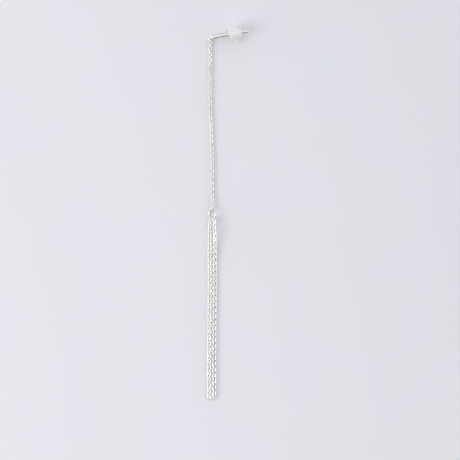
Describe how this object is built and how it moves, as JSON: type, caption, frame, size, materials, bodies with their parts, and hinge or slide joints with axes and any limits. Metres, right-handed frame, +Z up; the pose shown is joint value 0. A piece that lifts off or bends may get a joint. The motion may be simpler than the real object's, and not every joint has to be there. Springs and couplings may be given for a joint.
{
  "type": "chain earring",
  "caption": "Long chain earring lying flat: a straight post with a soft stopper, a fine cable chain, a jump ring and a tassel of loose chain strands.",
  "frame": {"origin": "centre of the earring's box, on the surface that it lies on", "axes": "+Z up from the surface; the chain runs along Y, with the post at its +Y end pointing to +X and the tassel's free ends at -Y"},
  "size_m": [0.0114, 0.1028, 0.0048],
  "materials": {
    "silver": "polished silver wire, lightly handled",
    "silicone": "clear, slightly milky silicone, moulded smooth"
  },
  "bodies": {
    "earring": {"ear_post": "silver", "upper_chain": "silver", "jump_ring": "silver", "strand_left": "silver", "strand_middle": "silver", "strand_right": "silver"},
    "back": {"ear_back": "silicone"}
  },
  "joints": [
    {"name": "ear_back_slide", "type": "slide", "parent": "earring", "child": "back", "axis": [0.9469, 0.1381, 0.2904], "range_m": [-0.005, 0.012]}
  ]
}
